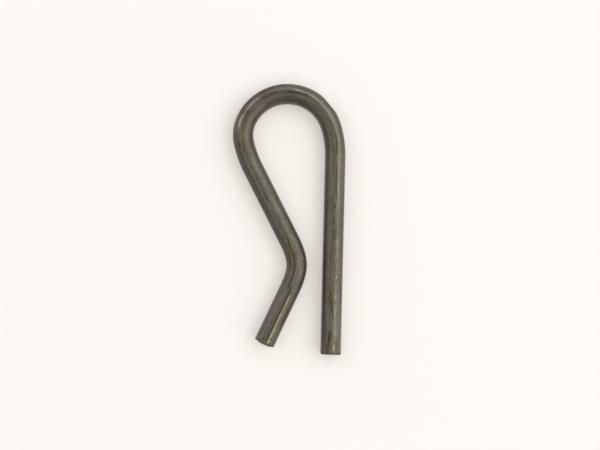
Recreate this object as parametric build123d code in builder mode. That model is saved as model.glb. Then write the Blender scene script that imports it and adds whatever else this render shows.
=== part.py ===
from build123d import *
from math import cos, radians, sin, tan
import os

# Hairpin cotter pin: one length of round spring wire, sheared off a coil and bent in one plane.
# A straight leg goes through the hole of the shaft. The wire then turns over a round eye, runs back
# in a diagonal, and bends outward again at a knee that rides over the shaft and snaps behind it.
#
# Frame: millimetres. The origin is on the straight leg's axis, where the leg ends and the eye begins.
# The leg points along -Y, the eye lies towards +Y, the bent leg towards -X, and Z is square to the
# plane of the bends. The pin lies flat, so its lowest points are half a wire below the origin.

# Wire
wire_diameter = 3.175  # eighth-inch round wire
straight_length = 30.4  # straight leg, from its sheared tip to the eye

# Eye: four arcs that flow into each other, each with its radius at the middle of the wire
lead_out_radius = 14.8  # the slack bend that leaves the straight leg
lead_out_turn = 19
crown_radius = 7.0  # over the top
side_radius = 5.45  # the tighter bend down the far side
side_turn = 39.5
lead_in_radius = 17.0  # the slack bend that runs into the diagonal
lead_in_turn = 14

# Bent leg: its two straight stretches, as angles away from the straight leg's direction
diagonal_angle = 28.1  # closing in on the straight leg
flare_angle = 24.0  # opening out again, so that the tip rides up on the shaft
tip_length = 9.2  # straight stretch below the knee, to the sheared tip
knee_gap = 2.35  # clear space between the knee and the straight leg
knee_radius = 5.45
knee_ease_radius = 15.0  # springback opens the bend where it starts and ends
knee_ease_turn = 8.7

# Flat that the bending tool pressed on the outside of the crown
flat_turn = 22.5  # how far into the crown its middle lies
flat_depth = 0.18

# Sheared tips: the blade draws one edge round, and leans a little as it goes through
straight_tip_rollover = 0.4
straight_tip_slant = 0.6
bent_tip_rollover = 0.3
bent_tip_slant = 8.5
rollover_exit = 55  # how far the round edge has turned where it meets the side of the wire

wire_radius = wire_diameter / 2
blank_allowance = wire_diameter  # extra wire at each end, for the blade to take off
crown_turn = 180 + diagonal_angle - lead_out_turn - side_turn - lead_in_turn
knee_turn = diagonal_angle + flare_angle - 2 * knee_ease_turn


def side_step(radius: float, first_angle: float, last_angle: float) -> float:
    """How far a bend carries the wire sideways as its slope falls from one angle to another."""
    return radius * (cos(radians(last_angle)) - cos(radians(first_angle)))


def shear(tip: Plane, slant: float, rollover: float) -> None:
    """Cuts the wire off at a tip.

    The tip's plane has its origin at the middle of the cut, X out of the wire and Y towards the
    side where the blade enters. The cut leans back on that side, and its edge there is drawn round.
    """
    lean = tan(radians(slant))
    # the round edge starts inside the wire, and its arc runs out through the side
    round_from = wire_radius - rollover * sin(radians(rollover_exit))
    with BuildSketch(tip) as blade:
        with BuildLine():
            cut = Line((wire_diameter * lean, -wire_diameter), (-round_from * lean, round_from))
            round_edge = JernArc(cut @ 1, cut % 1, rollover, 90)
            Polyline(
                round_edge @ 1,
                ((round_edge @ 1).X, wire_diameter),
                (2 * wire_diameter, wire_diameter),
                (2 * wire_diameter, -wire_diameter),
                cut @ 0,
            )
        make_face()
    extrude(blade.sketch, amount=wire_diameter, both=True, mode=Mode.SUBTRACT)


with BuildPart() as spring_wire:
    # The wire's path, from the straight leg round the eye to the tip of the bent leg
    with BuildLine():
        straight_leg = Line((0, -straight_length - blank_allowance), (0, 0))
        lead_out = JernArc(straight_leg @ 1, straight_leg % 1, lead_out_radius, lead_out_turn)
        crown = JernArc(lead_out @ 1, lead_out % 1, crown_radius, crown_turn)
        side = JernArc(crown @ 1, crown % 1, side_radius, side_turn)
        lead_in = JernArc(side @ 1, side % 1, lead_in_radius, lead_in_turn)
        # The diagonal is as long as it takes for the knee to come within its gap of the straight leg
        core_angle = diagonal_angle - knee_ease_turn
        knee_reach = side_step(knee_ease_radius, diagonal_angle, core_angle)
        knee_reach += side_step(knee_radius, core_angle, 0)
        knee_x = -wire_diameter - knee_gap
        diagonal_run = knee_x - knee_reach - (lead_in @ 1).X
        diagonal_length = diagonal_run / sin(radians(diagonal_angle))
        diagonal = Line(lead_in @ 1, lead_in @ 1 + (lead_in % 1) * diagonal_length)
        knee_entry = JernArc(diagonal @ 1, diagonal % 1, knee_ease_radius, -knee_ease_turn)
        knee = JernArc(knee_entry @ 1, knee_entry % 1, knee_radius, -knee_turn)
        knee_exit = JernArc(knee @ 1, knee % 1, knee_ease_radius, -knee_ease_turn)
        bent_tip = knee_exit @ 1 + (knee_exit % 1) * tip_length
        Line(knee_exit @ 1, bent_tip + (knee_exit % 1) * blank_allowance)
    with BuildSketch(Plane(straight_leg @ 0, z_dir=straight_leg % 0)):
        Circle(wire_radius)
    sweep()

    # The tool flat, square to the outside of the crown
    flat_at = flat_turn / crown_turn
    along = crown % flat_at
    outward = Vector(along.Y, -along.X)
    flat_middle = crown @ flat_at + outward * (wire_radius - flat_depth)
    with BuildSketch(Plane(flat_middle, x_dir=along, z_dir=outward)):
        Rectangle(2 * crown_radius, wire_diameter)
    extrude(amount=wire_radius, mode=Mode.SUBTRACT)

    # The straight tip, sheared from the side of the bent leg
    shear(
        Plane((0, -straight_length), x_dir=(0, -1), z_dir=(0, 0, -1)),
        straight_tip_slant,
        straight_tip_rollover,
    )
    # The bent tip, sheared from above
    tip_direction = knee_exit % 1
    shear(
        Plane(bent_tip, x_dir=tip_direction, z_dir=(tip_direction.Y, -tip_direction.X)),
        bent_tip_slant,
        bent_tip_rollover,
    )

spring_wire.part.label = "spring_wire"

os.makedirs("parts", exist_ok=True)
export_step(spring_wire.part, "parts/spring_wire.step")
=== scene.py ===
import logging
import math
from dataclasses import dataclass
from enum import Enum
from functools import partial, reduce

import bpy
import numpy as np
from mathutils import Matrix, Vector, noise


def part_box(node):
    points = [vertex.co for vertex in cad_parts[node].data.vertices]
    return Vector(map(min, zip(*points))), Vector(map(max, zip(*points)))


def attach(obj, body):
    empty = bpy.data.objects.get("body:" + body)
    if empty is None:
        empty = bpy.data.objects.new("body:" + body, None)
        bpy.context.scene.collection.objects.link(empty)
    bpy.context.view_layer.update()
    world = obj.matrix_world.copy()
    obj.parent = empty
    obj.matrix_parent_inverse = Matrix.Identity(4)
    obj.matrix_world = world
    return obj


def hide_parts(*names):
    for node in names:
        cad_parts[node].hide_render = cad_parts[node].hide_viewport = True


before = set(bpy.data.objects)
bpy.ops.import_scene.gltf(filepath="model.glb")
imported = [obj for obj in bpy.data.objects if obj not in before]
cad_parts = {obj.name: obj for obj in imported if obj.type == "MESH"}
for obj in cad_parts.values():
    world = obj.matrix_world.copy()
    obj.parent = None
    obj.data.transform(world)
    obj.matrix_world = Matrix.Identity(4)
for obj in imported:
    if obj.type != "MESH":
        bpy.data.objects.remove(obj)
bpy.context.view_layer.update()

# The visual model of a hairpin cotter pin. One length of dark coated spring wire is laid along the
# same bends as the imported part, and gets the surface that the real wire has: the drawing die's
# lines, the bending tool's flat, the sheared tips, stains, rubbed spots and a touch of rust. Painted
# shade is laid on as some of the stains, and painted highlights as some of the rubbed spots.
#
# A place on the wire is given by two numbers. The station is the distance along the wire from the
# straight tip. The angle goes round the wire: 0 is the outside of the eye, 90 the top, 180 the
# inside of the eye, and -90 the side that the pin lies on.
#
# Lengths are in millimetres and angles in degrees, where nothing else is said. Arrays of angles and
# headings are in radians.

MM = 0.001
WIRE_NODE = "spring_wire"
BAKE_LAYER = "OFBake"
BODY = "root"

Array = np.ndarray
Colour = tuple[float, float, float]
Faces = list[list[int]]
Socket = bpy.types.NodeSocket
Ramp = tuple[float, float, float, float]  # a range of values, and the range it is mapped to

log = logging.getLogger("hairpin")


def smooth_step(value: Array) -> Array:
    """Eases a value from 0 to 1, flat at both ends."""
    held = np.clip(value, 0.0, 1.0)
    return held * held * (3.0 - 2.0 * held)


def put_in_scene(name: str, data: bpy.types.ID) -> bpy.types.Object:
    """Makes an object in the scene.

    Args:
        name: Its name.
        data: Its mesh, lamp or camera.

    Returns:
        The object.
    """
    made = bpy.data.objects.new(name, data)
    bpy.context.scene.collection.objects.link(made)
    return made


def placement(at: Vector, right: Vector, up: Vector, back: Vector) -> Matrix:
    """Places a lamp or a camera by its own three directions."""
    return Matrix.Translation(at) @ Matrix((right, up, back)).transposed().to_4x4()


# The wire's path


@dataclass(frozen=True)
class Stretch:
    """One straight run or one bend of the wire."""

    length: float  # along the middle of the wire
    turn: float = 0.0  # how far the wire turns over that length, in radians, positive to the left

    @classmethod
    def bend(cls, radius: float, degrees: float) -> "Stretch":
        """Makes a bend from its radius at the middle of the wire and its turn."""
        return cls(abs(math.radians(degrees)) * radius, math.radians(degrees))

    def follow(self, heading: float, run: Array) -> tuple[Array, Array]:
        """Finds points along the stretch.

        Args:
            heading: Heading at its start, in radians from +X.
            run: Distances from its start.

        Returns:
            The points, as x and y from its start, and the headings there.
        """
        if not self.turn:
            direction = np.array([math.cos(heading), math.sin(heading)])
            return run[:, None] * direction, np.full(run.shape, heading)
        bend = self.turn / self.length
        headings = heading + bend * run
        steps = np.stack([np.sin(headings), -np.cos(headings)], axis=1)
        steps -= np.array([math.sin(heading), -math.cos(heading)])
        return steps / bend, headings


@dataclass(frozen=True)
class WirePath:
    """The middle line of the wire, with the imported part's sizes, from the straight tip to the bent tip."""

    wire_diameter: float = 3.175
    straight_length: float = 30.4
    lead_out_radius: float = 14.8
    lead_out_turn: float = 19.0
    crown_radius: float = 7.0
    side_radius: float = 5.45
    side_turn: float = 39.5
    lead_in_radius: float = 17.0
    lead_in_turn: float = 14.0
    diagonal_angle: float = 28.1
    flare_angle: float = 24.0
    tip_length: float = 9.2
    knee_gap: float = 2.35
    knee_radius: float = 5.45
    knee_ease_radius: float = 15.0
    knee_ease_turn: float = 8.7

    @property
    def wire_radius(self) -> float:
        """Half the wire's thickness."""
        return self.wire_diameter / 2

    @property
    def crown_turn(self) -> float:
        """What is left of the eye's turn for the crown."""
        eye_turn = 180 + self.diagonal_angle
        return eye_turn - self.lead_out_turn - self.side_turn - self.lead_in_turn

    @property
    def knee_turn(self) -> float:
        """What is left of the knee's turn between its two easings."""
        return self.diagonal_angle + self.flare_angle - 2 * self.knee_ease_turn

    @property
    def crown_start(self) -> float:
        """Station at which the crown begins."""
        return self.straight_length + self.lead_out_radius * math.radians(self.lead_out_turn)

    @property
    def length(self) -> float:
        """Length of the wire from tip to tip."""
        return sum(stretch.length for stretch in self.stretches())

    def eye(self) -> list[Stretch]:
        """The straight leg and the four bends of the eye."""
        return [
            Stretch(self.straight_length),
            Stretch.bend(self.lead_out_radius, self.lead_out_turn),
            Stretch.bend(self.crown_radius, self.crown_turn),
            Stretch.bend(self.side_radius, self.side_turn),
            Stretch.bend(self.lead_in_radius, self.lead_in_turn),
        ]

    def knee(self) -> list[Stretch]:
        """The knee's three bends, which turn the other way."""
        return [
            Stretch.bend(self.knee_ease_radius, -self.knee_ease_turn),
            Stretch.bend(self.knee_radius, -self.knee_turn),
            Stretch.bend(self.knee_ease_radius, -self.knee_ease_turn),
        ]

    def diagonal_length(self) -> float:
        """Length at which the knee comes within its gap of the straight leg.

        Returns:
            The diagonal's length.
        """
        eye = self.eye()
        eye_end, _ = self._walk(eye, np.array([sum(stretch.length for stretch in eye)]))
        steep = math.cos(math.radians(self.diagonal_angle))
        core = math.cos(math.radians(self.diagonal_angle - self.knee_ease_turn))
        knee_reach = self.knee_ease_radius * (core - steep) + self.knee_radius * (1.0 - core)
        knee_x = -self.wire_diameter - self.knee_gap
        sideways = knee_x - knee_reach - float(eye_end[0, 0])
        return sideways / math.sin(math.radians(self.diagonal_angle))

    def stretches(self) -> list[Stretch]:
        """All of the wire, from the straight tip to the bent tip."""
        return [*self.eye(), Stretch(self.diagonal_length()), *self.knee(), Stretch(self.tip_length)]

    def _walk(self, stretches: list[Stretch], stations: Array) -> tuple[Array, Array]:
        """Finds points along a chain of stretches that starts at the straight tip.

        Args:
            stretches: The chain.
            stations: Distances along it.

        Returns:
            The points, as x and y, and the headings there from +X.
        """
        points = np.zeros((len(stations), 2))
        headings = np.zeros(len(stations))
        start = np.array([0.0, -self.straight_length])
        heading = math.pi / 2
        passed = 0.0
        for stretch in stretches:
            # the first stretch also takes what stands out beyond the wire's start
            here = (stations >= passed) | (passed == 0.0)
            steps, headings[here] = stretch.follow(heading, stations[here] - passed)
            points[here] = start + steps
            whole, _ = stretch.follow(heading, np.array([stretch.length]))
            start = start + whole[0]
            heading += stretch.turn
            passed += stretch.length
        return points, headings

    def lay(self, stations: Array) -> tuple[Array, Array]:
        """Finds points along the whole wire, as _walk does."""
        return self._walk(self.stretches(), stations)


@dataclass
class Places:
    """Places on the wire's side or on its ends."""

    stations: Array
    angles: Array
    radii: Array  # distances from the wire's middle

    def towards(self, angle: float) -> tuple[Array, Array]:
        """Distances from the wire's middle, towards an angle and at right angles to that."""
        turned = self.angles - math.radians(angle)
        return self.radii * np.cos(turned), self.radii * np.sin(turned)


# What the tools left on the wire


@dataclass(frozen=True)
class ShearedTip:
    """A sheared end of the wire.

    The blade goes in on one side and draws that edge round. It leaves a smooth burnished band, and
    below it the metal tears off with a rough grain. The cut leans back on the blade's side.

    Distances on the cut are taken from the wire's middle: across, towards the blade's side, and
    aside, at right angles to that.
    """

    blade_angle: float  # angle round the wire at which the blade goes in
    slant: float  # how far the cut leans
    rollover: float  # radius of the rounded edge
    burr: float = 0.0  # how far the far edge stands out
    burnish: float = 1.1  # width of the smooth band
    tear: float = 0.06  # depth of the torn part's pits
    seed: float = 0.0  # offset into the noise, so that the two tips differ

    EXIT_TURN = 55.0  # how far the round edge has turned where it meets the wire's side
    BURR_REACH = 0.7  # how far in from the far edge the burr starts to rise
    SCORE_DEPTH = 0.006
    PIT_DEPTH = 0.55  # mean depth of the torn part, as a share of tear
    PIT_COARSE = 0.55  # how far the coarse noise changes that
    PIT_FINE = 0.45  # how far the fine noise does
    BAND_WANDER = 0.35  # how far the end of the smooth band wanders
    BAND_EDGE = 0.3  # width over which it turns into the torn part
    CLEAN_RIM = 0.12  # width along the edge over which the relief comes in
    # each noise has the size of its features across and aside, and its own offset
    SCORES = (2.9, 0.16, 0.0)
    COARSE = (0.55, 0.55, 7.0)
    FINE = (0.20, 0.20, 19.0)

    def _outline(self, radius: float, across: Array) -> Array:
        """Height of the clean cut, out of the wire.

        Args:
            radius: The wire's radius.
            across: Distances across.

        Returns:
            The heights.
        """
        slant = math.radians(self.slant)
        round_from = radius - self.rollover * math.sin(math.radians(self.EXIT_TURN))
        centre_across = round_from - self.rollover * math.sin(slant)
        centre_out = -round_from * math.tan(slant) - self.rollover * math.cos(slant)
        reach = np.clip((across - centre_across) / self.rollover, -1.0, 1.0)
        rounded = centre_out + self.rollover * np.sqrt(1.0 - reach**2)
        burr = self.burr * smooth_step((self.BURR_REACH - radius - across) / self.BURR_REACH)
        return np.where(across > round_from, rounded, burr - across * math.tan(slant))

    def _noise(self, across: Array, aside: Array, grain: tuple[float, float, float]) -> Array:
        """Noise over the cut.

        Args:
            across: Distances across.
            aside: Distances aside.
            grain: Size of the features across and aside, and an offset into the noise.

        Returns:
            Values from -1 to 1.
        """
        size_across, size_aside, offset = grain
        places = zip(aside / size_aside, across / size_across)
        return np.array([noise.noise(Vector((x, y, self.seed + offset))) for x, y in places])

    def _tear(self, radius: float, across: Array, aside: Array) -> Array:
        """Where the metal is torn, as shares from 0 to 1, below the ragged end of the smooth band."""
        ragged = radius - self.burnish + self.BAND_WANDER * self._noise(across, aside, self.SCORES)
        return smooth_step((ragged - across) / self.BAND_EDGE)

    def _relief(self, radius: float, across: Array, aside: Array) -> Array:
        """Depth of the scores and the torn grain below the clean cut.

        Args:
            radius: The wire's radius.
            across: Distances across.
            aside: Distances aside.

        Returns:
            The depths, never below zero.
        """
        coarse = self._noise(across, aside, self.COARSE)
        fine = self._noise(across, aside, self.FINE)
        pits = self.tear * (self.PIT_DEPTH + self.PIT_COARSE * coarse + self.PIT_FINE * fine)
        lines = self.SCORE_DEPTH * (0.5 + self._noise(across, aside, self.SCORES))
        torn = self._tear(radius, across, aside)
        rim = smooth_step((radius - np.hypot(across, aside)) / self.CLEAN_RIM)
        return np.clip((torn * pits + (1.0 - torn) * lines) * rim, 0.0, None)

    def cut(self, radius: float, places: Places) -> Array:
        """How far the cut stands out of the wire."""
        across, aside = places.towards(self.blade_angle)
        return self._outline(radius, across) - self._relief(radius, across, aside)

    def torn(self, radius: float, places: Places) -> Array:
        """Where the metal is torn, as shares from 0 to 1."""
        return self._tear(radius, *places.towards(self.blade_angle))


@dataclass(frozen=True)
class ToolFlat:
    """The flat that the bending tool pressed on the outside of the crown."""

    turn: float = 22.5  # how far into the crown its middle lies
    depth: float = 0.18
    hatch_pitch: float = 0.42  # spacing of the tool's fine lines across the wire
    hatch_depth: float = 0.012

    REACH = 0.6  # furthest that it can reach along the wire, as a share of the crown's radius
    HATCH_EDGE = 0.5  # share of its depth over which the fine lines come in

    def press(self, path: WirePath, points: Array, stations: Array) -> Array:
        """Presses the flat into the wire's surface.

        Args:
            path: The wire's path.
            points: The surface, as x, y and z.
            stations: The stations of the points.

        Returns:
            The pressed surface.
        """
        middle = path.crown_start + path.crown_radius * math.radians(self.turn)
        at, heading = path.lay(np.array([middle]))
        outward = np.array([math.sin(heading[0]), -math.cos(heading[0]), 0.0])
        on_flat = np.array([*at[0], 0.0]) + outward * (path.wire_radius - self.depth)
        near = np.abs(stations - middle) < path.crown_radius * self.REACH
        proud = np.where(near, (points - on_flat) @ outward, -1.0)
        share = smooth_step(proud / (self.HATCH_EDGE * self.depth))
        lines = 0.5 + 0.5 * np.sin(2 * math.pi * stations / self.hatch_pitch)
        depth = np.clip(proud, 0.0, None) + share * lines * self.hatch_depth
        return points - depth[..., None] * outward


class MarkKind(Enum):
    """What a mark on the wire is, with the name of its attribute in the mesh."""

    SEAM = "seam"
    # stains, and painted shade
    STAIN_AND_SHADE = "stain_and_shade"
    # rubbed spots, and painted highlights
    RUB_AND_HIGHLIGHT = "rub_and_highlight"
    RUST = "rust"
    VIOLET = "violet"
    OLIVE = "olive"


@dataclass(frozen=True)
class Mark:
    """A mark along the wire, such as a die line, a stain, a rubbed streak, painted shade, a painted
    highlight or a change of tint.
    """

    kind: MarkKind
    track: tuple[tuple[float, float], ...]  # stations, rising, each with the angle there
    width: float  # half its width round the wire
    strength: float  # how plain it is, from 0 to 1
    depth: float = 0.0  # how deep it is cut into the wire
    fade: float = 0.4  # length over which it fades in and out
    wander: float = 0.0  # how far it wanders to the side
    lap: float = 0.0  # how far the metal is folded down on the side where the angle is larger

    LAP_FALL = 0.6  # width over which the lap falls away
    LAP_RISE = 1.1  # width over which the wire is round again
    SLOW_WAVE = 1.9  # the two waves in which a mark wanders, in radians for each millimetre
    QUICK_WAVE = 4.3
    QUICK_SHARE = 0.6  # size of the quick one, as a share of the slow one

    def _aside(self, radius: float, places: Places) -> Array:
        """Distances from the mark's middle, positive where the angle is larger.

        Args:
            radius: The wire's radius.
            places: Places on the wire.

        Returns:
            The distances.
        """
        track_stations, track_angles = zip(*self.track)
        middle = np.radians(np.interp(places.stations, track_stations, track_angles))
        slow = np.sin(places.stations * self.SLOW_WAVE + track_angles[0])
        drift = self.wander * (slow + self.QUICK_SHARE * np.sin(places.stations * self.QUICK_WAVE))
        turned = (places.angles - middle + math.pi) % (2 * math.pi) - math.pi
        return turned * radius - drift

    def _ends(self, stations: Array) -> Array:
        """Shares from 0 to 1, as the mark fades in and out along the wire."""
        first, last = self.track[0][0], self.track[-1][0]
        return smooth_step(np.minimum(stations - first, last - stations) / self.fade)

    def cover(self, radius: float, places: Places) -> Array:
        """How much of the mark each place has, as shares from 0 to 1."""
        aside = self._aside(radius, places) / self.width
        return np.exp(-(aside**2)) * self._ends(places.stations)

    def sink(self, radius: float, places: Places) -> Array:
        """How far the mark lowers the surface.

        Args:
            radius: The wire's radius.
            places: Places on the wire.

        Returns:
            The depths.
        """
        sunk = self.depth * self.cover(radius, places)
        if self.lap:
            aside = self._aside(radius, places)
            fall = 1.0 - (1.0 - np.clip(aside / self.LAP_FALL, 0.0, 1.0)) ** 2
            rise = 1.0 - smooth_step((aside - self.LAP_FALL) / self.LAP_RISE)
            sunk = sunk + self.lap * fall * rise * self._ends(places.stations)
        return sunk


# The marks on the wire, as they are in the photograph

# Some of the stains below are painted shade, and some of the rubbed streaks are painted highlights.
SEAM, STAIN_AND_SHADE, RUB_AND_HIGHLIGHT, RUST, VIOLET, OLIVE = MarkKind


def dash(
    kind: MarkKind, first: float, last: float, angle: float, width: float, strength: float, fade: float = 0.4
) -> Mark:
    """A mark that keeps one angle, from its first station to its last."""
    return Mark(kind, ((first, angle), (last, angle)), width, strength, fade=fade)


KNEE_LINE = ((71.5, 85), (72.6, 80), (74.5, 80), (76.5, 80), (79.2, 80), (79.9, 84), (80.3, 91))
TIP_LINE = ((79.6, 95), (80.6, 97), (83.7, 96), (87.0, 96), (88.2, 97), (89.6, 95))
TIP_RIDGE = ((80.9, 108), (82.0, 107), (83.1, 107), (86.7, 106), (88.0, 107), (90.2, 108))
DIAGONAL_LINE = ((57.5, 84), (61.0, 88), (64.5, 90), (71.8, 90))
LEG_LINE = ((23.6, 79), (27.6, 80), (29.5, 80))
LEG_LINE_UPPER = ((30.4, 80), (32.1, 79), (33.2, 77), (34.2, 76))
CROWN_BAND = ((31.4, 66), (34.4, 62), (36.2, 66), (39.8, 67), (41.7, 64), (44.0, 61), (47.5, 60))

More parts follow.
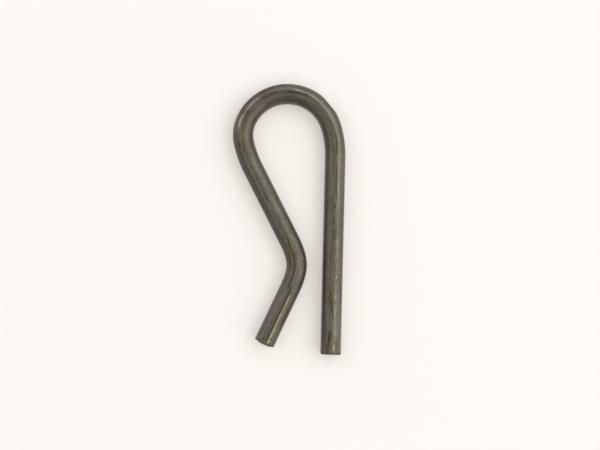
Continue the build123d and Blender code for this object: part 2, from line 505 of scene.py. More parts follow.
MARKS = (
    # the flared tip and the knee: die lines, with a painted highlight along the ridge beside the one on the
    # tip
    Mark(SEAM, KNEE_LINE, 0.12, 0.85, depth=0.020, wander=0.02, lap=0.045),
    Mark(SEAM, TIP_LINE, 0.16, 0.80, depth=0.025, wander=0.02),
    # painted highlight along the ridge, in pieces, over this mark and the next four, running out over the
    # bent tip's face
    Mark(RUB_AND_HIGHLIGHT, TIP_RIDGE, 0.13, 0.55, wander=0.02),
    Mark(RUB_AND_HIGHLIGHT, ((81.7, 108), (82.7, 107)), 0.12, 0.70),
    Mark(RUB_AND_HIGHLIGHT, ((88.5, 109), (89.7, 111)), 0.19, 1.0, fade=0.2),
    Mark(RUB_AND_HIGHLIGHT, ((83.6, 106), (86.7, 106), (88.7, 107)), 0.12, 0.84, fade=0.6),
    dash(RUB_AND_HIGHLIGHT, 85.8, 88.5, 114, 0.12, 0.40, fade=0.6),
    Mark(RUB_AND_HIGHLIGHT, ((81.5, 84), (87.8, 82)), 0.22, 0.10, fade=1.0),
    Mark(OLIVE, ((80.5, 125), (89.3, 120)), 0.55, 0.8, fade=2.0),
    Mark(VIOLET, ((77.0, 55), (80.0, 58), (89.3, 52)), 0.95, 1.0, fade=2.5),
    dash(RUB_AND_HIGHLIGHT, 71.9, 72.3, 76, 0.09, 0.9, fade=0.12),
    Mark(STAIN_AND_SHADE, ((88.3, 75), (88.8, 79), (89.5, 83)), 0.18, 0.78, fade=0.25),
    dash(RUB_AND_HIGHLIGHT, 88.5, 89.5, 32, 0.25, 0.30, fade=0.25),
    dash(RUST, 88.9, 89.9, 90, 0.85, 0.60, fade=0.25),
    dash(RUB_AND_HIGHLIGHT, 79.3, 82.4, 140, 0.22, 0.27, fade=0.5),
    dash(RUB_AND_HIGHLIGHT, 85.3, 87.3, 139, 0.22, 0.18, fade=0.5),
    Mark(RUB_AND_HIGHLIGHT, ((79.9, 75), (81.3, 76)), 0.20, 0.18),
    dash(RUB_AND_HIGHLIGHT, 80.9, 82.0, 80, 0.16, 0.18),
    dash(RUB_AND_HIGHLIGHT, 81.4, 82.5, 68, 0.20, 0.18),
    dash(RUB_AND_HIGHLIGHT, 77.3, 79.9, 87, 0.16, 0.20),
    dash(STAIN_AND_SHADE, 77.9, 79.3, 115, 0.22, 0.30),
    dash(STAIN_AND_SHADE, 78.7, 80.1, 59, 0.20, 0.30),
    # painted shade on the knee's side turned away from the lamps
    dash(STAIN_AND_SHADE, 73.2, 76.9, 31, 0.28, 0.62, fade=0.6),
    dash(RUB_AND_HIGHLIGHT, 72.7, 74.4, 92, 0.16, 0.18),
    dash(STAIN_AND_SHADE, 74.3, 75.9, 75, 0.18, 0.48),
    # the diagonal: a faint line with darker dashes
    Mark(SEAM, DIAGONAL_LINE, 0.08, 0.20, depth=0.006, wander=0.04, lap=0.045, fade=1.5),
    Mark(STAIN_AND_SHADE, ((60.6, 86), (62.0, 84)), 0.13, 0.30),
    dash(STAIN_AND_SHADE, 60.8, 62.2, 112, 0.20, 0.28),
    dash(STAIN_AND_SHADE, 65.5, 66.9, 124, 0.18, 0.30),
    dash(RUB_AND_HIGHLIGHT, 62.2, 64.4, 148, 0.20, 0.15, fade=0.5),
    dash(RUB_AND_HIGHLIGHT, 63.8, 64.8, 94, 0.15, 0.18, fade=0.3),
    Mark(STAIN_AND_SHADE, ((63.7, 83), (65.6, 85)), 0.11, 0.65),
    Mark(RUB_AND_HIGHLIGHT, ((65.6, 95), (69.2, 97)), 0.20, 0.10, fade=0.8),
    dash(RUB_AND_HIGHLIGHT, 64.6, 65.9, 100, 0.20, 0.15),
    dash(RUB_AND_HIGHLIGHT, 65.9, 67.0, 86, 0.15, 0.18, fade=0.3),
    dash(RUB_AND_HIGHLIGHT, 64.8, 68.6, 148, 0.25, 0.18, fade=0.6),
    dash(STAIN_AND_SHADE, 62.8, 64.2, 124, 0.18, 0.38),
    Mark(STAIN_AND_SHADE, ((62.2, 60), (63.2, 52)), 0.12, 0.5, fade=0.3),
    dash(STAIN_AND_SHADE, 64.6, 65.4, 47, 0.10, 0.5, fade=0.2),
    Mark(STAIN_AND_SHADE, ((66.5, 76), (67.2, 64)), 0.12, 0.6),
    Mark(STAIN_AND_SHADE, ((67.8, 102), (68.9, 98)), 0.10, 0.6),
    Mark(STAIN_AND_SHADE, ((69.2, 83), (70.0, 77)), 0.12, 0.7, fade=0.3),
    Mark(RUB_AND_HIGHLIGHT, ((66.1, 77), (67.0, 72)), 0.05, 0.6, fade=0.2),
    # below the eye
    Mark(SEAM, ((55.4, 56), (55.8, 60), (56.4, 67)), 0.15, 0.95, fade=0.2),
    Mark(STAIN_AND_SHADE, ((51.3, 124), (54.0, 123), (57.8, 116)), 0.40, 0.30, fade=1.2),
    # painted shade along the side turned away from the lamps, over this mark and the next
    Mark(STAIN_AND_SHADE, ((52.5, 30), (74.5, 31)), 0.34, 0.52, fade=2.0),
    Mark(STAIN_AND_SHADE, ((69.0, 31), (71.8, 32)), 0.32, 0.85, fade=0.6),
    # painted shade along the far edge of the highlight, over this mark and the next two
    dash(STAIN_AND_SHADE, 75.3, 77.4, 123, 0.28, 0.65, fade=0.6),
    dash(STAIN_AND_SHADE, 54.4, 57.0, 129, 0.25, 0.82, fade=0.7),
    dash(STAIN_AND_SHADE, 67.4, 69.4, 129, 0.25, 0.25, fade=0.6),
    Mark(STAIN_AND_SHADE, ((56.7, 75), (57.3, 79)), 0.10, 0.65, fade=0.2),
    Mark(STAIN_AND_SHADE, ((57.6, 54), (58.6, 58)), 0.12, 0.35, fade=0.3),
    Mark(STAIN_AND_SHADE, ((53.3, 139), (55.9, 136)), 0.16, 0.8, fade=0.5),
    # the eye's far side
    # painted highlights: reflections of the lamp to the upper left, over this mark and the next
    Mark(RUB_AND_HIGHLIGHT, ((51.2, 62), (52.5, 62), (53.9, 62)), 0.12, 1.0, fade=0.9),
    Mark(RUB_AND_HIGHLIGHT, ((47.8, 65), (49.0, 63), (49.8, 64), (51.2, 63)), 0.20, 0.68, fade=0.9),
    Mark(STAIN_AND_SHADE, ((50.2, 89), (52.5, 91)), 0.18, 0.65),
    Mark(VIOLET, ((47.0, 55), (54.5, 50)), 0.45, 0.8, fade=1.2),
    dash(STAIN_AND_SHADE, 45.5, 46.9, 56, 0.20, 0.35),
    dash(STAIN_AND_SHADE, 46.7, 47.7, 92, 0.18, 0.35, fade=0.3),
    dash(STAIN_AND_SHADE, 58.0, 59.2, 95, 0.20, 0.30),
    dash(RUB_AND_HIGHLIGHT, 49.9, 51.1, 48, 0.20, 0.22),
    dash(RUB_AND_HIGHLIGHT, 50.9, 52.1, 109, 0.20, 0.18),
    Mark(RUB_AND_HIGHLIGHT, ((53.6, 56), (54.6, 55)), 0.20, 0.20, fade=0.3),
    dash(RUB_AND_HIGHLIGHT, 54.7, 55.8, 50, 0.16, 0.22, fade=0.3),
    # painted shade along the side turned away from the lamps
    Mark(STAIN_AND_SHADE, ((43.8, 32), (47.0, 32), (52.0, 31)), 0.44, 0.97, fade=1.3),
    Mark(VIOLET, ((49.5, 112), (55.0, 112), (62.0, 108), (68.0, 108)), 0.60, 0.55, fade=3.0),
    Mark(STAIN_AND_SHADE, ((46.1, 76), (46.5, 77), (47.0, 80)), 0.16, 0.8, fade=0.25),
    Mark(STAIN_AND_SHADE, ((46.8, 84), (47.4, 86), (48.1, 84)), 0.18, 0.9, fade=0.25),
    Mark(STAIN_AND_SHADE, ((50.5, 77), (51.1, 78), (52.2, 83), (53.4, 87)), 0.10, 0.70, fade=0.3),
    Mark(SEAM, ((50.6, 84), (58.4, 86)), 0.08, 0.10, lap=0.030, fade=1.5),
    Mark(STAIN_AND_SHADE, ((54.8, 86), (57.2, 84)), 0.12, 0.6),
    Mark(STAIN_AND_SHADE, ((45.4, 73), (46.3, 80), (47.2, 86), (48.1, 82)), 0.19, 0.85),
    Mark(STAIN_AND_SHADE, ((49.2, 128), (51.0, 136), (52.4, 138)), 0.15, 0.6),
    # the crown
    Mark(SEAM, ((40.8, 77), (41.4, 77), (42.0, 79)), 0.13, 0.9, depth=0.012, fade=0.3),
    Mark(SEAM, ((42.0, 80), (43.0, 81), (44.4, 82)), 0.18, 0.80, depth=0.012, fade=0.3),
    dash(OLIVE, 38.0, 45.0, 95, 0.8, 0.8, fade=2.0),
    # painted highlight along the crown: this streak, the next, and the short one at 40.9 to 42.2
    Mark(RUB_AND_HIGHLIGHT, CROWN_BAND, 0.28, 0.28, fade=1.5),
    Mark(RUB_AND_HIGHLIGHT, ((38.2, 64), (39.6, 65), (41.6, 66), (42.6, 65), (43.8, 61)), 0.17, 0.92, fade=1.0),
    Mark(RUB_AND_HIGHLIGHT, ((38.0, 52), (41.2, 51)), 0.25, 0.30, fade=0.8),
    Mark(RUB_AND_HIGHLIGHT, ((40.9, 65), (42.2, 66)), 0.13, 1.0),
    dash(STAIN_AND_SHADE, 44.8, 46.1, 52, 0.20, 0.42),
    Mark(STAIN_AND_SHADE, ((39.8, 117), (42.2, 120)), 0.25, 0.35, fade=0.5),
    dash(STAIN_AND_SHADE, 39.8, 42.6, 150, 0.28, 0.45, fade=0.6),
    dash(RUB_AND_HIGHLIGHT, 30.9, 32.0, 74, 0.12, 0.30, fade=0.3),
    dash(STAIN_AND_SHADE, 31.9, 33.2, 59, 0.16, 0.26),
    Mark(STAIN_AND_SHADE, ((32.8, 90), (33.6, 89)), 0.14, 0.42, fade=0.25),
    dash(RUB_AND_HIGHLIGHT, 34.75, 35.05, 114, 0.08, 0.9, fade=0.12),
    dash(RUB_AND_HIGHLIGHT, 33.4, 33.7, 113, 0.08, 0.8, fade=0.12),
    dash(RUB_AND_HIGHLIGHT, 32.6, 32.85, 88, 0.07, 0.35, fade=0.1),
    # the straight leg
    Mark(SEAM, LEG_LINE, 0.11, 0.80, depth=0.010, fade=0.6),
    Mark(SEAM, LEG_LINE_UPPER, 0.12, 0.95, depth=0.010, fade=0.5),
    Mark(RUB_AND_HIGHLIGHT, ((24.2, 100), (27.6, 101)), 0.28, 0.14, fade=0.8),
    dash(RUB_AND_HIGHLIGHT, 23.4, 24.8, 140, 0.18, 0.20),
    dash(STAIN_AND_SHADE, 14.2, 16.8, 64, 0.26, 0.30, fade=0.6),
    # faint painted highlight along the leg, on the side turned to the lamps
    Mark(RUB_AND_HIGHLIGHT, ((24.0, 71), (29.0, 68), (32.2, 69)), 0.22, 0.14, fade=1.5),
    Mark(STAIN_AND_SHADE, ((33.2, 81), (36.4, 78)), 0.22, 0.32, fade=0.5),
    Mark(STAIN_AND_SHADE, ((32.4, 72), (35.7, 71)), 0.22, 0.46, fade=0.5),
    dash(RUB_AND_HIGHLIGHT, 24.0, 33.0, 32, 0.35, 0.10, fade=1.5),
    Mark(STAIN_AND_SHADE, ((22.2, 83), (22.8, 84), (23.4, 82)), 0.13, 0.85, fade=0.2),
    Mark(STAIN_AND_SHADE, ((19.9, 86), (20.5, 88), (21.1, 87)), 0.17, 1.0, fade=0.25),
    Mark(STAIN_AND_SHADE, ((17.3, 84), (19.4, 86)), 0.20, 0.75, fade=0.3),
    dash(VIOLET, 9.5, 13.0, 118, 0.55, 0.9, fade=1.0),
    dash(VIOLET, 17.0, 18.9, 70, 0.45, 0.8, fade=0.5),
    dash(RUB_AND_HIGHLIGHT, 11.6, 12.1, 66, 0.10, 0.6, fade=0.15),
    Mark(RUB_AND_HIGHLIGHT, ((2.8, 68), (3.3, 68), (3.8, 67)), 0.10, 0.45),
    dash(RUB_AND_HIGHLIGHT, 0.3, 7.5, 33, 0.40, 0.20, fade=2.0),
    dash(RUB_AND_HIGHLIGHT, 0.3, 4.5, 126, 0.35, 0.06, fade=1.0),
    Mark(STAIN_AND_SHADE, ((-0.3, 58), (1.4, 58), (3.0, 53)), 0.18, 0.58, fade=0.2),
    dash(RUB_AND_HIGHLIGHT, 0.3, 7.5, 86, 0.50, 0.07, fade=2.0),
    Mark(RUB_AND_HIGHLIGHT, ((8.5, 66), (9.2, 67)), 0.09, 0.55, fade=0.25),
    Mark(STAIN_AND_SHADE, ((5.2, 79), (6.4, 79), (7.3, 80)), 0.10, 1.0),
    Mark(SEAM, ((6.3, 89), (7.4, 91), (8.4, 89), (9.1, 86)), 0.13, 0.75),
    Mark(SEAM, ((7.6, 96), (8.6, 101), (9.2, 96), (10.0, 92)), 0.14, 0.75),
    Mark(RUB_AND_HIGHLIGHT, ((5.4, 72), (6.4, 72), (7.5, 77)), 0.08, 0.65, fade=0.6),
    Mark(SEAM, ((1.5, 103), (2.6, 99), (3.9, 96)), 0.22, 0.95, fade=0.5),
    Mark(STAIN_AND_SHADE, ((-0.3, 104), (0.8, 108), (2.0, 106)), 0.22, 0.95),
    dash(RUB_AND_HIGHLIGHT, 0.0, 1.0, 124, 0.16, 0.35, fade=0.25),
    dash(RUB_AND_HIGHLIGHT, 0.1, 2.7, 30, 0.22, 0.36, fade=0.5),
    dash(RUB_AND_HIGHLIGHT, 6.4, 7.9, 31, 0.20, 0.30),
    dash(STAIN_AND_SHADE, 5.1, 6.7, 67, 0.12, 0.28),
    # a small painted highlight near the tip
    Mark(RUB_AND_HIGHLIGHT, ((0.3, 78), (0.6, 76), (1.0, 72), (1.7, 70)), 0.09, 1.0, fade=0.6),
    dash(STAIN_AND_SHADE, -0.3, 0.30, 90, 2.4, 0.50, fade=0.14),
    # the hidden side, where the wire has slid along the bending tool
    Mark(SEAM, ((4.0, -62), (16.0, -58), (31.0, -64)), 0.08, 0.5, depth=0.008, wander=0.03),
    Mark(SEAM, ((58.0, -98), (70.0, -104)), 0.08, 0.5, depth=0.008, wander=0.03),
    Mark(RUB_AND_HIGHLIGHT, ((22.0, -112), (28.0, -118)), 0.10, 0.5, fade=2.0),
    Mark(RUB_AND_HIGHLIGHT, ((37.0, -70), (52.0, -74)), 0.14, 0.35, fade=3.0),
    Mark(STAIN_AND_SHADE, ((82.0, -80), (87.0, -86)), 0.20, 0.7, fade=1.5),
    Mark(STAIN_AND_SHADE, ((10.0, -95), (14.5, -90)), 0.20, 0.6, fade=1.5),
    Mark(RUST, ((0.0, -80), (0.8, -70)), 0.50, 0.5),
)


# Finishes

NOISE_SPAN = (0.3, 0.7)  # where most of a noise's values lie


@dataclass(frozen=True)
class Texture:
    """One of the textures in a finish."""

    around: float  # size of its features round the wire
    along: float  # their size along the wire
    detail: float = 2.0
    roughness: float = 0.5
    shade: float = 0.0  # how far it makes the coat thicker and thinner
    height: float = 0.0  # its share of the relief


class Board:
    """Adds and joins the nodes of one material or world."""

    def __init__(self, owner: bpy.types.Material | bpy.types.World) -> None:
        """Clears the nodes.

        Args:
            owner: The material or world.
        """
        owner.use_nodes = True
        self.tree = owner.node_tree
        self.tree.nodes.clear()

    def add(
        self, kind: str, inputs: dict[str | int, object] | None = None, **settings: object
    ) -> bpy.types.Node:
        """Adds a node.

        Args:
            kind: The node's type.
            inputs: Sockets to join or values to set, by the input's name or number.
            **settings: The node's own properties.

        Returns:
            The node.
        """
        node = self.tree.nodes.new(kind)
        for name, value in settings.items():
            setattr(node, name, value)
        for key, value in (inputs or {}).items():
            if isinstance(value, bpy.types.NodeSocket):
                self.tree.links.new(value, node.inputs[key])
            elif node.inputs[key].type == "RGBA":
                node.inputs[key].default_value = (*value, 1.0)
            else:
                node.inputs[key].default_value = value
        return node

    def attribute(self, name: str, output: str = "Fac") -> Socket:
        """Reads one of the mesh's own attributes."""
        return self.add("ShaderNodeAttribute", attribute_name=name).outputs[output]

    def textures(self, *wanted: Texture) -> dict[Texture, Socket]:
        """Lays textures along the wire, as noise from 0 to 1.

        Args:
            *wanted: The textures.

        Returns:
            The value of each.
        """
        straight = self.attribute("straight", "Vector")
        laid = {}
        for texture in wanted:
            around, along = 1 / (texture.around * MM), 1 / (texture.along * MM)
            scaled = self.add("ShaderNodeMapping", {"Vector": straight, "Scale": (around, along, around)})
            laid[texture] = self.add("ShaderNodeTexNoise", {
                "Vector": scaled.outputs["Vector"],
                "Scale": 1.0,
                "Detail": texture.detail,
                "Roughness": texture.roughness,
            }, noise_dimensions="3D").outputs["Fac"]
        return laid

    def remap(self, value: Socket, ramp: Ramp) -> Socket:
        """Maps one range of values to another, held at its ends."""
        ranges = dict(zip(("From Min", "From Max", "To Min", "To Max"), ramp))
        return self.add("ShaderNodeMapRange", {"Value": value, **ranges}, clamp=True).outputs["Result"]

    def maths(self, operation: str, first: Socket | float, second: Socket | float) -> Socket:
        """Joins two values by an operation."""
        return self.add("ShaderNodeMath", {0: first, 1: second}, operation=operation).outputs["Value"]

    def total(self, values: list[Socket]) -> Socket:
        """Adds up several values."""
        return reduce(partial(self.maths, "ADD"), values)

    def relief(self, laid: dict[Texture, Socket]) -> Socket:
        """Adds up the heights of the textures that have one."""
        raised = [(texture.height, value) for texture, value in laid.items() if texture.height]
        return self.total([self.maths("MULTIPLY", value, height) for height, value in raised])

    def blend(self, factor: Socket | float, first: Socket | Colour, second: Socket | Colour) -> Socket:
        """Mixes two colours, from the first where the factor is 0 to the second where it is 1."""
        return self.add("ShaderNodeMix", {0: factor, 6: first, 7: second}, data_type="RGBA").outputs[2]

    def surface(self, height: Socket, relief: float, inputs: dict[str, object]) -> None:
        """Ends a material with its shader.

        Args:
            height: The height of the surface, from 0 to 1.
            relief: How high 1 is, in metres.
            inputs: What else goes into the shader.
        """
        bump = self.add("ShaderNodeBump", {"Height": height, "Strength": 1.0, "Distance": relief})
        shader = self.add("ShaderNodeBsdfPrincipled", {**inputs, "Normal": bump.outputs["Normal"]})
        self.add("ShaderNodeOutputMaterial", {"Surface": shader.outputs["BSDF"]})


@dataclass(frozen=True)
class CoatedWireFinish:
    """The dark coat on the drawn wire: streaks from the die, mottling, stains and rubbed spots, painted
    shade and highlights.
    """

    plain: Colour = (0.141, 0.122, 0.092)  # the coat in most places
    olive: Colour = (0.145, 0.129, 0.084)  # where it is more yellow
    violet: Colour = (0.139, 0.117, 0.108)  # where it is greyer
    dark: Colour = (0.056, 0.048, 0.034)  # where it is thick
    stain_and_shade: Colour = (0.026, 0.021, 0.007)  # stains, painted shade, and dirt in the die lines
    rubbed_and_highlit: Colour = (0.370, 0.345, 0.275)  # where the coat is rubbed through, and painted highlights
    rust: Colour = (0.150, 0.066, 0.022)
    metallic: float = 0.72
    cloud: Texture = Texture(2.2, 4.0)  # changes of tint
    broad: Texture = Texture(0.9, 9.0, 3.0, shade=0.25)  # broad streaks
    streak: Texture = Texture(0.20, 4.5, 3.0, 0.6, shade=0.65, height=0.7)  # the die's fine streaks
    mottle: Texture = Texture(0.40, 1.6, 3.0, 0.6, shade=0.40, height=0.8)  # the coat's patches
    grain: Texture = Texture(0.15, 0.40, 2.0, 0.6, shade=0.90, height=0.6)  # its larger crystals
    crystal: Texture = Texture(0.045, 0.06, 1.0, shade=0.40, height=0.15)  # its smallest crystals
    scratch: Texture = Texture(0.035, 6.0, 1.0, shade=0.35, height=0.12)  # hair lines from the die
    more_olive: Ramp = (0.35, 0.50, 0.45, 0.0)  # by the changes of tint
    more_violet: Ramp = (0.50, 0.65, 0.0, 0.45)
    thickness: Ramp = (-1.0, 1.0, 0.0, 0.80)  # how dark the coat gets where the textures thicken it
    gloss: Ramp = (-1.0, 1.0, 0.24, 0.38)  # its roughness there
    ragged: Ramp = (0.35, 0.6, 0.5, 1.0)  # how the patches break up stains, painted shade and rust
    rub_and_highlight_breakup: Ramp = (0.75, 1.15, 0.35, 1.0)  # how patches and crystals break up rubbed spots and painted highlights
    stain_and_shade_dulls: float = 0.15  # how much stains and painted shade add to the roughness
    relief: float = 0.000010  # height of the streaks and the grain, in metres

    def material(self) -> bpy.types.Material:
        """Builds the material.

        Returns:
            The finished material.
        """
        made = bpy.data.materials.new("coated_wire")
        board = Board(made)
        cloud = board.textures(self.cloud)[self.cloud]
        laid = board.textures(self.broad, self.streak, self.mottle, self.grain, self.crystal, self.scratch)
        uneven = board.total([
            board.remap(value, (*NOISE_SPAN, -texture.shade, texture.shade))
            for texture, value in laid.items()
        ])

        tint = board.blend(board.remap(cloud, self.more_olive), self.plain, self.olive)
        tint = board.blend(board.remap(cloud, self.more_violet), tint, self.violet)
        tint = board.blend(board.attribute("olive"), tint, self.olive)
        tint = board.blend(board.attribute("violet"), tint, self.violet)
        colour = board.blend(board.remap(uneven, self.thickness), tint, self.dark)

        # stains and die lines, with painted shade among the stains, darken the coat; rubbed spots, with
        # painted highlights among them, lighten it
        ragged = board.remap(laid[self.mottle], self.ragged)
        stained_and_shaded = board.maths("MULTIPLY", board.attribute("stain_and_shade"), ragged)
        stained_and_shaded = board.maths("MAXIMUM", board.attribute("seam"), stained_and_shaded)
        rub_and_highlight_breakup = board.remap(board.maths("ADD", laid[self.grain], laid[self.mottle]), self.rub_and_highlight_breakup)
        rubbed_and_highlit = board.maths("MULTIPLY", board.attribute("rub_and_highlight"), rub_and_highlight_breakup)
        rusted = board.maths("MULTIPLY", board.attribute("rust"), ragged)
        colour = board.blend(rubbed_and_highlit, colour, self.rubbed_and_highlit)
        colour = board.blend(stained_and_shaded, colour, self.stain_and_shade)
        colour = board.blend(rusted, colour, self.rust)
        dulled = board.maths("MULTIPLY", stained_and_shaded, self.stain_and_shade_dulls)
        board.surface(board.relief(laid), self.relief, {
            "Base Color": colour,
            "Metallic": self.metallic,
            "Roughness": board.maths("ADD", board.remap(uneven, self.gloss), dulled),
        })
        return made


@dataclass(frozen=True)
class ShearedFaceFinish:
    """The sheared tips: a smoother scored band, and dark torn metal with brown where it is thin."""

    smooth: Colour = (0.105, 0.083, 0.050)  # the scored band on the blade's side
    dark: Colour = (0.055, 0.042, 0.022)  # the pits of the torn part
    bare: Colour = (0.150, 0.118, 0.070)  # its crests
    rust: Colour = (0.190, 0.090, 0.035)  # along the edge
    rubbed_and_highlit: Colour = (0.300, 0.270, 0.200)  # where the edge is rubbed, and a painted highlight
    metallic: float = 0.15
    shine: float = 0.12  # strength of the surface's reflections
    coarse: Texture = Texture(0.28, 0.28, 3.0, 0.65, height=0.6)
    fine: Texture = Texture(0.08, 0.08, 3.0, 0.65, height=0.4)
    patches: Texture = Texture(0.5, 0.5)
    crests_bare: Ramp = (0.38, 0.60, 0.0, 1.0)
    scores_dark: Ramp = (*NOISE_SPAN, 0.0, 0.5)
    rust_patches: Ramp = (0.35, 0.6, 0.0, 1.0)
    gloss: Ramp = (0.4, 1.6, 0.45, 0.75)  # roughness, from the scored band to the torn crests
    roughened: Ramp = (0.0, 1.0, 0.2, 1.0)  # share of the relief, from the scored band to the torn part
    relief: float = 0.000030  # height of the grain, in metres

    def material(self) -> bpy.types.Material:
        """Builds the material.

        Returns:
            The finished material.
        """
        made = bpy.data.materials.new("sheared_face")
        board = Board(made)
        laid = board.textures(self.coarse, self.fine, self.patches)
        torn = board.attribute("torn")
        crests = board.relief(laid)
        torn_colour = board.blend(board.remap(crests, self.crests_bare), self.dark, self.bare)
        scored = board.blend(board.remap(laid[self.fine], self.scores_dark), self.smooth, self.dark)
        colour = board.blend(torn, scored, torn_colour)
        patchy = board.remap(laid[self.patches], self.rust_patches)
        colour = board.blend(board.maths("MULTIPLY", board.attribute("rust"), patchy), colour, self.rust)
        # the rubbed edge, and the end of the painted highlight on the bent tip's ridge
        colour = board.blend(board.attribute("rub_and_highlight"), colour, self.rubbed_and_highlit)
        height = board.maths("MULTIPLY", crests, board.remap(torn, self.roughened))
        board.surface(height, self.relief, {
            "Base Color": colour,
            "Metallic": self.metallic,
            "Roughness": board.remap(board.maths("ADD", torn, crests), self.gloss),
            "Specular IOR Level": self.shine,
        })
        return made


# The wire


@dataclass
class SpringWire:
    """The whole pin: the wire along its path, with what the tools left on it."""

    path: WirePath = WirePath()
    straight_tip: ShearedTip = ShearedTip(180.0, 0.6, 0.4)
    bent_tip: ShearedTip = ShearedTip(90.0, 8.5, 0.3, burr=0.09, seed=31.0)
    flat: ToolFlat = ToolFlat()
    marks: tuple[Mark, ...] = MARKS
    sides: int = 144  # faces round the wire
    rings: int = 639  # faces along it
    cap_rings: int = 12  # rings of points on a sheared face, round the one at its middle
    rim: float = 0.035  # how far the edge of a tip is worn round
    inset: float = 0.006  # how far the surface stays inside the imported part's
    blend_length: float = 3.0  # how far back from a tip the slant of the cut reaches into the mesh
    strips: int = 3  # strips into which the side is cut where it is laid out flat
    sheet: float = 34.0  # width of the square sheet on which it is laid out
    sheet_gap: float = 0.3  # space between the parts on that sheet
    marks_from: float = 0.70  # share of the wire's radius from which marks show on a sheared face
    marks_whole: float = 0.95  # share from which they show in full

    def _angles(self) -> Array:
        """Angles round the wire, starting below it, where the texture's seam lies."""
        return -math.pi / 2 + np.arange(self.sides) * (2 * math.pi / self.sides)

    def _skin(self) -> Places:
        """Lays out the wire's side, ring by ring.

        Returns:
            The places of its points.
        """
        length = self.path.length
        radius = self.path.wire_radius
        edge = Places(np.zeros(self.sides), self._angles(), np.full(self.sides, radius))
        near_cut = self.rim - self.straight_tip.cut(radius, edge)
        far_cut = self.bent_tip.cut(radius, edge) - self.rim
        even = np.linspace(0.0, length, self.rings + 1)[:, None]
        near = np.clip(1.0 - even / self.blend_length, 0.0, 1.0)
        far = np.clip(1.0 - (length - even) / self.blend_length, 0.0, 1.0)
        stations = (even + near * near_cut + far * far_cut).ravel()
        angles = np.tile(self._angles(), self.rings + 1)
        skin = Places(stations, angles, np.full(stations.shape, radius - self.inset))
        for mark in self.marks:
            skin.radii -= mark.sink(radius, skin)
        return skin

    def _cap(self, tip: ShearedTip, at_start: bool) -> Places:
        """Lays out a sheared face, ring by ring from its worn rim inwards, and last its middle.

        Args:
            tip: The tip.
            at_start: True for the straight leg's tip.

        Returns:
            The places of its points.
        """
        rings = np.linspace(self.path.wire_radius - self.rim, 0.0, self.cap_rings + 1)[:-1]
        radii = np.append(np.repeat(rings, self.sides), 0.0)
        angles = np.append(np.tile(self._angles(), self.cap_rings), 0.0)
        cap = Places(np.zeros(radii.shape), angles, radii)
        heights = tip.cut(self.path.wire_radius, cap)
        cap.stations = -heights if at_start else self.path.length + heights
        return cap

    def _points(self, places: Places) -> Array:
        """Turns places on the wire into points.

        Args:
            places: The places.

        Returns:
            The points, as x, y and z.
        """
        at, headings = self.path.lay(places.stations)
        outward, upward = places.towards(0.0)
        x = at[:, 0] + outward * np.sin(headings)
        y = at[:, 1] - outward * np.cos(headings)
        return np.stack([x, y, upward], axis=-1)

    def _join(self, rings: list[int], flip: bool, middle: int | None = None) -> Faces:
        """Joins rings of points, each to the next.

        Args:
            rings: Number of each ring's first point.
            flip: True to turn the faces over.
            middle: Number of the point that closes the last ring, if one does.

        Returns:
            The faces.
        """
        here = np.arange(self.sides)
        after = np.roll(here, -1)
        bands = [[one + here, one + after, two + after, two + here] for one, two in zip(rings, rings[1:])]
        if middle is not None:
            bands.append([rings[-1] + here, rings[-1] + after, np.full(self.sides, middle)])
        faces = [face for band in bands for face in np.stack(band, axis=1).tolist()]
        return [face[::-1] for face in faces] if flip else faces

    def _lay_flat(self, mesh: bpy.types.Mesh, places: Places) -> None:
        """Lays the surface out flat for baking: the side in strips, and beside them the two ends.

        Args:
            mesh: The mesh.
            places: The places of its points.
        """
        corners = np.zeros(len(mesh.loops), dtype=np.int32)
        mesh.loops.foreach_get("vertex_index", corners)
        counts = np.zeros(len(mesh.polygons), dtype=np.int32)
        mesh.polygons.foreach_get("loop_total", counts)
        face = np.repeat(np.arange(len(counts)), counts)
        # the side, cut open below the wire, where its rings start
        strip_rings = self.rings // self.strips
        strip = face // self.sides // strip_rings
        ring = corners // self.sides
        side = corners % self.sides
        side = np.where((side == 0) & (face % self.sides == self.sides - 1), self.sides, side)
        run = self.path.length / self.strips
        girth = 2 * math.pi * self.path.wire_radius
        along = self.sheet_gap + (ring - strip * strip_rings) / strip_rings * run
        around = self.sheet_gap + strip * (girth + self.sheet_gap) + side / self.sides * girth
        # the two ends, one above the other at the end of the strips
        side_faces = self.rings * self.sides
        far = face >= side_faces + (len(counts) - side_faces) // 2
        step = self.path.wire_diameter + self.sheet_gap
        middle_x = self.sheet_gap + run + step - self.path.wire_radius
        middle_y = self.sheet_gap + self.path.wire_radius + far * step
        on_end = face >= side_faces
        outward, upward = places.towards(0.0)
        flat_x = np.where(on_end, middle_x + outward[corners], along)
        flat_y = np.where(on_end, middle_y + upward[corners], around)
        layer = mesh.uv_layers.new(name=BAKE_LAYER)
        sheet = np.stack([flat_x, flat_y], axis=-1) / self.sheet
        layer.data.foreach_set("uv", sheet.astype(np.float32).ravel())

    def _write(self, mesh: bpy.types.Mesh, name: str, values: Array) -> None:
        """Writes a number or a vector for each point into the mesh.

        Args:
            mesh: The mesh.
            name: Name of the attribute.
            values: The numbers, or the vectors in rows.
        """
        kind, key = ("FLOAT_VECTOR", "vector") if values.ndim > 1 else ("FLOAT", "value")
        layer = mesh.attributes.new(name, kind, "POINT")
        layer.data.foreach_set(key, values.astype(np.float32).ravel())

    def _paint(self, mesh: bpy.types.Mesh, places: Places) -> None:
        """Writes the coordinates on the straight wire, and the marks, into the mesh.

        Args:
            mesh: The mesh.
            places: The places of its points.
        """
        radius = self.path.wire_radius
        outward, upward = places.towards(0.0)
        self._write(mesh, "straight", np.stack([outward, places.stations, upward], axis=-1) * MM)
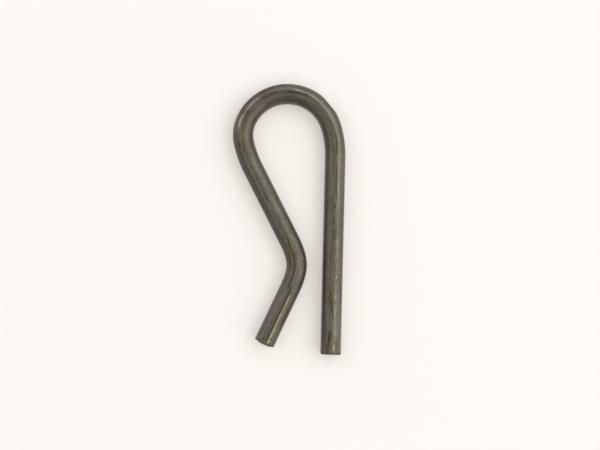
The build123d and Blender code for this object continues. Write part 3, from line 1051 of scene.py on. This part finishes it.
        # a mark that runs out over a tip ends near its rim
        outer = (places.radii / radius - self.marks_from) / (self.marks_whole - self.marks_from)
        outer = smooth_step(outer)
        for kind in MarkKind:
            share = np.zeros(places.stations.shape)
            for mark in self.marks:
                if mark.kind is kind:
                    share = np.maximum(share, mark.strength * outer * mark.cover(radius, places))
            self._write(mesh, kind.value, share)

    def build(self) -> bpy.types.Object:
        """Builds the wire.

        Returns:
            The finished object, with its material slots still empty.
        """
        skin = self._skin()
        near, far = self._cap(self.straight_tip, True), self._cap(self.bent_tip, False)
        parts = (skin, near, far)
        whole = Places(
            np.concatenate([part.stations for part in parts]),
            np.concatenate([part.angles for part in parts]),
            np.concatenate([part.radii for part in parts]),
        )
        points = self._points(whole)
        skin_size = len(skin.radii)
        points[:skin_size] = self.flat.press(self.path, points[:skin_size], skin.stations)
        side_rings = list(range(0, skin_size, self.sides))
        faces = self._join(side_rings, True)
        on_end = [0] * len(faces)
        first = skin_size
        for rim, flip in ((0, False), (side_rings[-1], True)):
            middle = first + self.cap_rings * self.sides
            faces += self._join([rim, *range(first, middle, self.sides)], flip, middle)
            first = middle + 1
        on_end += [1] * (len(faces) - len(on_end))
        mesh = bpy.data.meshes.new("spring_wire_dressed")
        mesh.from_pydata((points * MM).tolist(), [], faces)
        self._paint(mesh, whole)
        radius = self.path.wire_radius
        torn = [self.straight_tip.torn(radius, near), self.bent_tip.torn(radius, far)]
        self._write(mesh, "torn", np.concatenate([np.zeros(skin_size), *torn]))
        self._lay_flat(mesh, whole)
        mesh.polygons.foreach_set("material_index", on_end)
        mesh.polygons.foreach_set("use_smooth", np.ones(len(faces), dtype=bool))
        mesh.update()
        return put_in_scene("dressed_wire", mesh)

    def dress(self, piece: bpy.types.Object) -> None:
        """Gives the wire its finishes."""
        piece.data.materials.append(CoatedWireFinish().material())
        piece.data.materials.append(ShearedFaceFinish().material())


# Studio


@dataclass(frozen=True)
class Softbox:
    """A soft lamp over the pin."""

    name: str
    azimuth: float  # direction in which it stands, from +X towards +Y
    tilt: float  # how far it stands from straight above
    spread: tuple[float, float]  # half its width, level with the floor, and half its height, as angles
    radiance: float  # how bright its face is, where 1 is white
    colour: Colour = (1.0, 1.0, 1.0)
    distance: float = 0.6  # in metres

    def hang(self, target: Vector) -> None:
        """Hangs the lamp so that it faces a point.

        Args:
            target: The point, in metres.
        """
        lamp = bpy.data.lights.new(self.name, "AREA")
        lamp.shape = "RECTANGLE"
        lamp.size, lamp.size_y = (2 * self.distance * math.tan(math.radians(half)) for half in self.spread)
        lamp.color = self.colour
        lamp.energy = self.radiance * math.pi * lamp.size * lamp.size_y
        tilt = math.radians(self.tilt)
        east, north = math.cos(math.radians(self.azimuth)), math.sin(math.radians(self.azimuth))
        level = Vector((-north, east, 0.0))
        out = Vector((math.sin(tilt) * east, math.sin(tilt) * north, math.cos(tilt)))
        hung = put_in_scene(self.name, lamp)
        hung.matrix_world = placement(target + self.distance * out, level, out.cross(level), out)
        hung.visible_camera = False


@dataclass(frozen=True)
class Viewpoint:
    """The camera, where the photograph was taken."""

    position: tuple[float, float, float] = (2.5746, -22.3531, 397.9738)
    aim: tuple[float, float, float] = (-5.1959, -10.5497, -1.5875)  # the point that it looks at
    upward: tuple[float, float, float] = (-0.023481, 0.999275, 0.029976)  # what is up in the picture
    sensor_width: float = 36.0
    focal_length: float = 155.22
    sees_from: float = 0.01  # nearest and furthest that it sees, in metres
    sees_to: float = 20.0

    def place(self) -> bpy.types.Object:
        """Makes the scene's camera.

        Returns:
            The camera.
        """
        lens = bpy.data.cameras.new("viewpoint")
        lens.sensor_width = self.sensor_width
        lens.lens = self.focal_length
        lens.clip_start = self.sees_from
        lens.clip_end = self.sees_to
        position = Vector(self.position) * MM
        forward = (Vector(self.aim) * MM - position).normalized()
        right = forward.cross(Vector(self.upward)).normalized()
        camera = put_in_scene("viewpoint", lens)
        camera.matrix_world = placement(position, right, right.cross(forward), -forward)
        bpy.context.scene.camera = camera
        return camera


@dataclass
class Studio:
    """A pale floor, soft lamps and a soft surrounding light."""

    floor_level: float  # in metres
    floor_size: float = 6.0  # in metres
    floor_colour: Colour = (0.902, 0.876, 0.908)
    floor_glow: Colour = (1.0, 0.930, 0.815)  # even tone that the floor also shows the camera and the wire, with a painted shadow by the wire
    glow_share: float = 0.49  # share of that tone in what is seen of the floor
    painted_shadow_strength: float = 0.21  # how strongly a painted shadow darkens that tone close to the wire, away from the light
    painted_shadow_reach: float = 0.003  # how far from the wire it does so, in metres
    light_side: tuple[float, float, float] = (1.0, 0.0, 1.0)  # direction of most of the light
    room_colour: Colour = (1.0, 0.985, 0.95)
    room_level: float = 0.51  # how bright the surrounding light is
    boxes: tuple[Softbox, ...] = (
        Softbox("right_low_middle", 0.0, 72.0, (15.0, 15.0), 1.39),
        Softbox("right_low_upper", 33.0, 72.0, (16.0, 15.0), 0.84, (0.95, 1.0, 1.05)),
        Softbox("right_low_lower", -33.0, 72.0, (16.0, 15.0), 0.91),
        Softbox("right_peak", 0.0, 58.0, (14.0, 5.0), 0.50),
        Softbox("right_high_middle", 0.0, 44.0, (12.0, 12.0), 2.20),
        Softbox("right_high_upper", 38.0, 46.0, (13.0, 13.0), 1.55, (0.95, 1.0, 1.05)),
        Softbox("right_high_lower", -38.0, 46.0, (13.0, 13.0), 0.91),
        Softbox("right_top", 0.0, 24.0, (30.0, 9.0), 0.81),
        Softbox("upper", 92.0, 68.0, (26.0, 20.0), 0.65, (0.95, 0.98, 1.07)),
        Softbox("upper_left", 148.0, 62.0, (22.0, 26.0), 0.74, (0.93, 0.94, 1.13)),
        Softbox("upper_top", 90.0, 26.0, (30.0, 9.0), 0.10, (0.95, 0.98, 1.07)),
        Softbox("left_high", 195.0, 34.0, (36.0, 11.0), 0.69),
        Softbox("left_middle", 182.0, 60.0, (30.0, 12.0), 0.16),
        Softbox("overhead", 0.0, 0.0, (14.0, 14.0), 0.64, (1.08, 1.02, 0.90)),
    )

    def _paper(self) -> bpy.types.Material:
        """Builds the floor's material: lit paper, mixed where it is seen with an even tone that carries a
        painted shadow by the wire.

        Returns:
            The material.
        """
        made = bpy.data.materials.new("pale_floor")
        board = Board(made)
        paper = board.add("ShaderNodeBsdfDiffuse", {"Color": self.floor_colour})
        light_side = board.add("ShaderNodeCombineXYZ", dict(enumerate(self.light_side)))
        reach = {"Distance": self.painted_shadow_reach, "Normal": light_side.outputs["Vector"]}
        open_share = board.add("ShaderNodeAmbientOcclusion", reach, samples=8)
        # painted shadow: the even tone darkens where the wire shuts the floor in on the side of the light
        painted_shadow = board.maths("POWER", open_share.outputs["AO"], self.painted_shadow_strength)
        glow = board.add("ShaderNodeEmission", {"Color": self.floor_glow, "Strength": painted_shadow})
        rays = board.add("ShaderNodeLightPath")
        seen = board.maths("MAXIMUM", rays.outputs["Is Camera Ray"], rays.outputs["Is Glossy Ray"])
        seen = board.maths("MAXIMUM", seen, rays.outputs["Is Transmission Ray"])
        mixed = board.add("ShaderNodeMixShader", {
            0: board.maths("MULTIPLY", seen, self.glow_share),
            1: paper.outputs["BSDF"],
            2: glow.outputs["Emission"],
        })
        board.add("ShaderNodeOutputMaterial", {"Surface": mixed.outputs["Shader"]})
        return made

    def _floor(self) -> None:
        """Lays the floor."""
        half = self.floor_size / 2
        corners = ((-half, -half), (half, -half), (half, half), (-half, half))
        mesh = bpy.data.meshes.new("floor")
        mesh.from_pydata([(x, y, self.floor_level) for x, y in corners], [], [(0, 1, 2, 3)])
        mesh.materials.append(self._paper())
        floor = put_in_scene("floor", mesh)

    def _room(self) -> None:
        """Sets the surrounding light."""
        world = bpy.data.worlds.new("room")
        bpy.context.scene.world = world
        board = Board(world)
        lit = board.add("ShaderNodeBackground", {"Color": self.room_colour, "Strength": self.room_level})
        board.add("ShaderNodeOutputWorld", {"Surface": lit.outputs["Background"]})

    def build(self, target: Vector) -> None:
        """Lays the floor, sets the surrounding light and hangs the lamps.

        Args:
            target: The point that the lamps face, in metres.
        """
        self._floor()
        self._room()
        for box in self.boxes:
            box.hang(target)
        bpy.context.scene.view_settings.view_transform = "Standard"


def main() -> None:
    """Builds the pin and the studio in order, and reports each."""
    logging.basicConfig(level=logging.INFO, format="%(name)s: %(message)s")
    low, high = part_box(WIRE_NODE)
    wire = SpringWire()
    piece = wire.build()
    wire.dress(piece)
    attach(piece, BODY)
    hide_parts(WIRE_NODE)
    log.info("%s: %d faces, %.2f mm of wire", piece.name, len(piece.data.polygons), wire.path.length)

    studio = Studio(floor_level=low.z)
    studio.build((low + high) / 2)
    log.info("studio: floor at %.4f mm, %d lamps", low.z / MM, len(studio.boxes))

    camera = Viewpoint().place()
    log.info("camera: %s, lens %.1f mm", camera.name, camera.data.lens)


if __name__ == "__main__":
    main()
